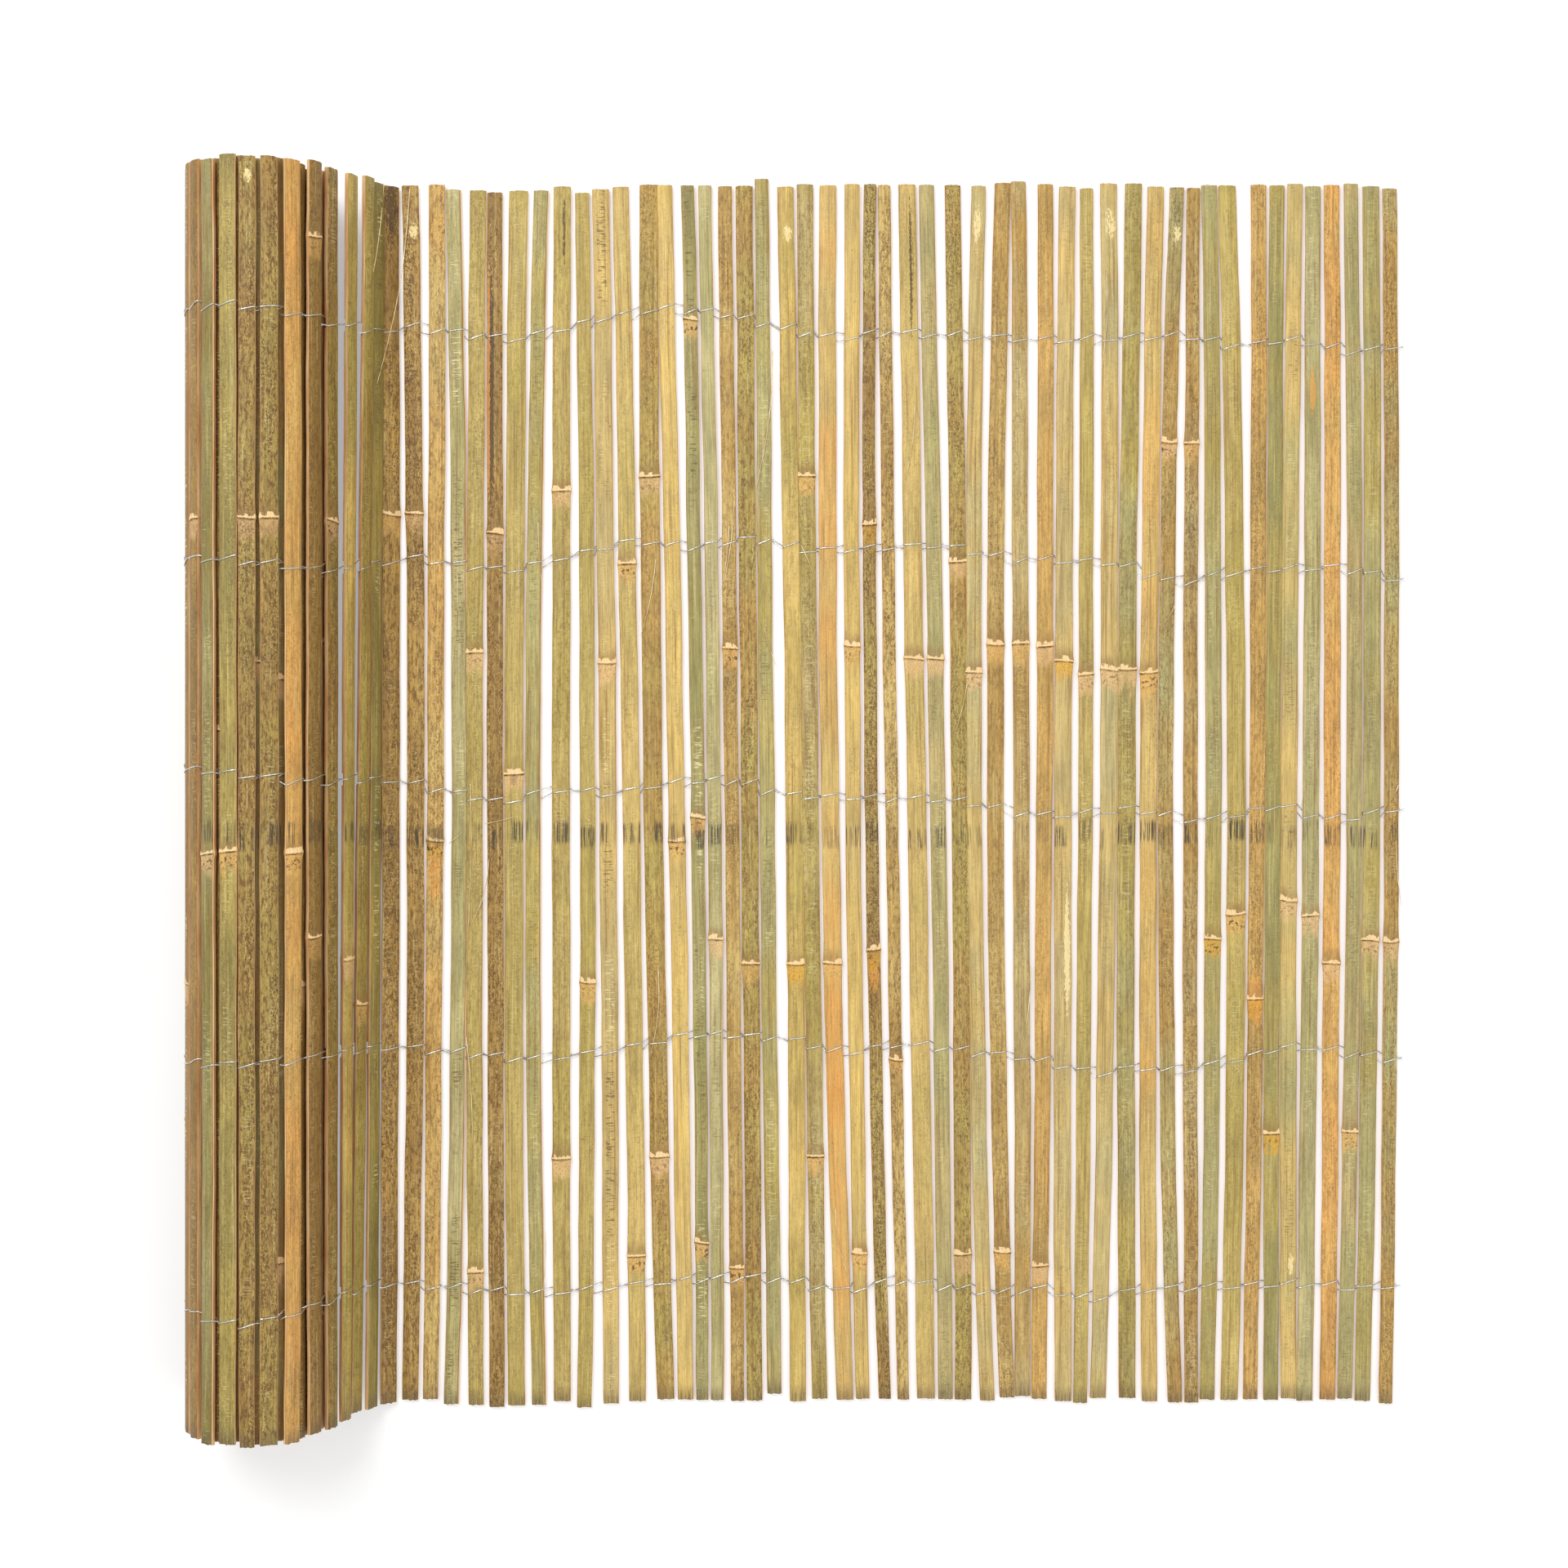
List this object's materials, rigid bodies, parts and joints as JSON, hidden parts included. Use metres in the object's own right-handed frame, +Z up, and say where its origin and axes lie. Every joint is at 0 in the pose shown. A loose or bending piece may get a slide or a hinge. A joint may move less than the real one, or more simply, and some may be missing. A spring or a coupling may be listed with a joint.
{
  "type": "split bamboo screening roll",
  "caption": "Screening sheet of split bamboo slats woven on rows of paired wires, one part lying flat and the rest wound into a loose roll.",
  "frame": {"origin": "centre of the outline seen from above, on the floor plane that the flat part lies on", "axes": "+Z up, out of the bamboo skin of the flat part; slats run along Y; the sheet runs along X from the roll at -X to its free end at +X"},
  "size_m": [0.9886, 1.013, 0.1191],
  "materials": {
    "bamboo_tan": "natural bamboo skin, dry, golden tan with brown nodes and freckles",
    "bamboo_olive": "natural bamboo skin, dry, olive to grey-green with pale nodes",
    "bamboo_brown": "natural bamboo skin, weathered, brown and mottled",
    "galvanised_wire": "dull bright galvanised binding wire"
  },
  "bodies": {
    "root": {"flat_slats_a": "bamboo_tan", "flat_slats_b": "bamboo_tan", "flat_slats_c": "bamboo_olive", "flat_slats_d": "bamboo_olive", "rising_slats": "bamboo_olive", "roll_turn_1": "bamboo_brown", "roll_turn_2": "bamboo_brown", "roll_turn_3": "bamboo_brown", "roll_turn_4": "bamboo_brown", "roll_core": "bamboo_brown", "wire_row_1": "galvanised_wire", "wire_row_2": "galvanised_wire", "wire_row_3": "galvanised_wire", "wire_row_4": "galvanised_wire", "wire_row_5": "galvanised_wire"}
  },
  "joints": []
}
